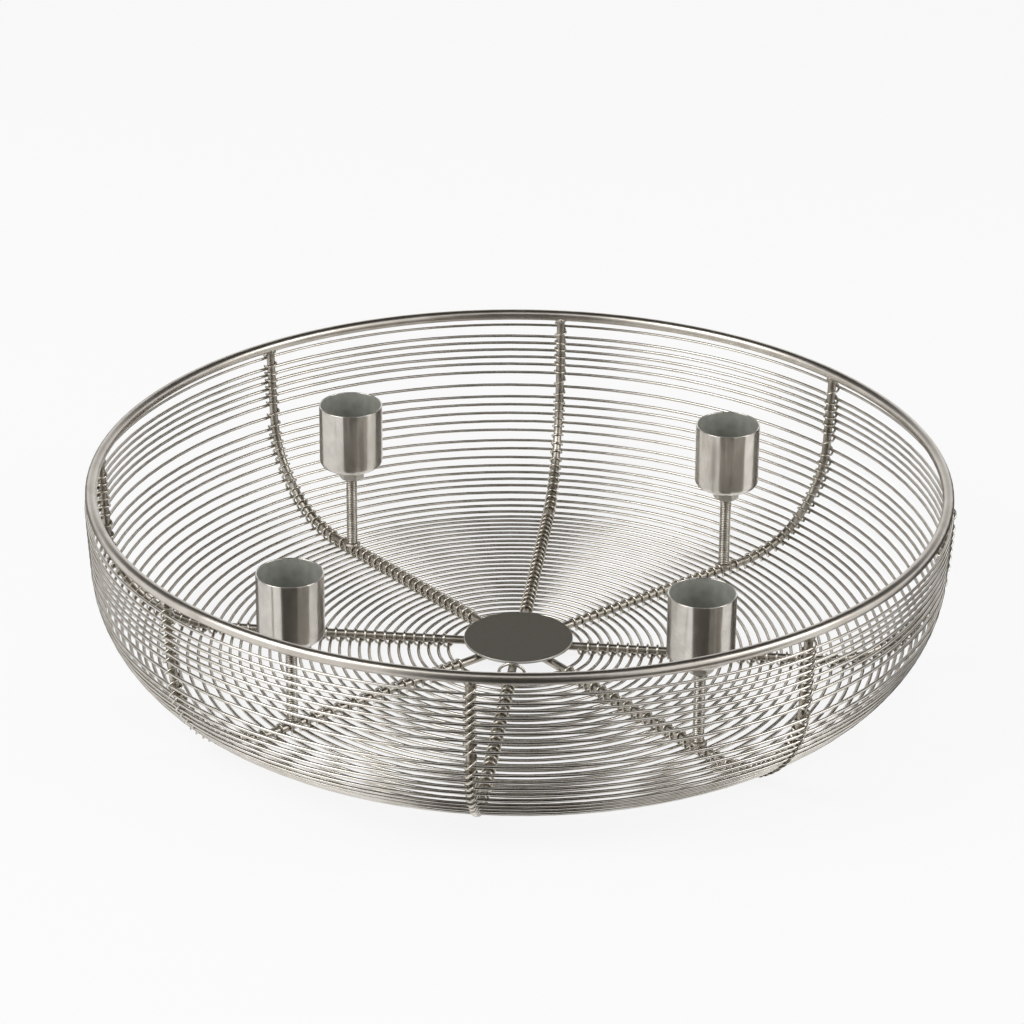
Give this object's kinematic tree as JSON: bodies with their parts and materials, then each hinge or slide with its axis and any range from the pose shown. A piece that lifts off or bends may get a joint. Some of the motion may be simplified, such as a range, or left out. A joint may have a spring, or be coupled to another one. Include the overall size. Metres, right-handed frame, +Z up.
{
  "type": "advent candle holder",
  "caption": "Round wire bowl of ribs and wound wire with candle cups that screw on to threaded studs inside it, used as an advent wreath stand.",
  "frame": {"origin": "middle of the plane that the bowl stands on", "axes": "+Z up along the bowl's axis, +X along the first rib, with the cups on the diagonals between X and Y"},
  "size_m": [0.3022, 0.3022, 0.0691],
  "materials": {
    "rod_steel": "bright nickel on drawn steel rod",
    "wire_steel": "nickel on drawn steel wire",
    "lashing_steel": "nickel on soft binding wire",
    "disc_steel": "matt dark grey sheet with a bright edge",
    "stud_steel": "nickel on threaded rod",
    "cup_nickel": "polished nickel outside, dull inside"
  },
  "bodies": {
    "bowl": {"rim_ring": "rod_steel", "rib_1": "rod_steel", "rib_2": "rod_steel", "rib_3": "rod_steel", "rib_4": "rod_steel", "rib_5": "rod_steel", "rib_6": "rod_steel", "rib_7": "rod_steel", "rib_8": "rod_steel", "top_hoop": "wire_steel", "wall_winding": "wire_steel", "floor_winding": "wire_steel", "floor_lashing_1": "lashing_steel", "wall_lashing_1": "lashing_steel", "floor_lashing_2": "lashing_steel", "wall_lashing_2": "lashing_steel", "floor_lashing_3": "lashing_steel", "wall_lashing_3": "lashing_steel", "floor_lashing_4": "lashing_steel", "wall_lashing_4": "lashing_steel", "floor_lashing_5": "lashing_steel", "wall_lashing_5": "lashing_steel", "floor_lashing_6": "lashing_steel", "wall_lashing_6": "lashing_steel", "floor_lashing_7": "lashing_steel", "wall_lashing_7": "lashing_steel", "floor_lashing_8": "lashing_steel", "wall_lashing_8": "lashing_steel", "cover_disc": "disc_steel", "stud_1": "stud_steel", "stud_2": "stud_steel", "stud_3": "stud_steel", "stud_4": "stud_steel"},
    "cup_1": {"candle_cup_1": "cup_nickel", "cup_nut_1": "stud_steel"},
    "cup_2": {"candle_cup_2": "cup_nickel", "cup_nut_2": "stud_steel"},
    "cup_3": {"candle_cup_3": "cup_nickel", "cup_nut_3": "stud_steel"},
    "cup_4": {"candle_cup_4": "cup_nickel", "cup_nut_4": "stud_steel"}
  },
  "joints": [
    {"name": "cup_1_unscrew", "type": "hinge", "parent": "bowl", "child": "cup_1", "pos_m": [0.06842, 0.06842, 0.037], "axis": [0, 0, 1], "range_deg": [0, 2340]},
    {"name": "cup_2_unscrew", "type": "hinge", "parent": "bowl", "child": "cup_2", "pos_m": [-0.06929, 0.06929, 0.037], "axis": [0, 0, 1], "range_deg": [0, 2340]},
    {"name": "cup_3_unscrew", "type": "hinge", "parent": "bowl", "child": "cup_3", "pos_m": [-0.06965, -0.06965, 0.037], "axis": [0, 0, 1], "range_deg": [0, 2340]},
    {"name": "cup_4_unscrew", "type": "hinge", "parent": "bowl", "child": "cup_4", "pos_m": [0.06806, -0.06806, 0.037], "axis": [0, 0, 1], "range_deg": [0, 2340]}
  ]
}
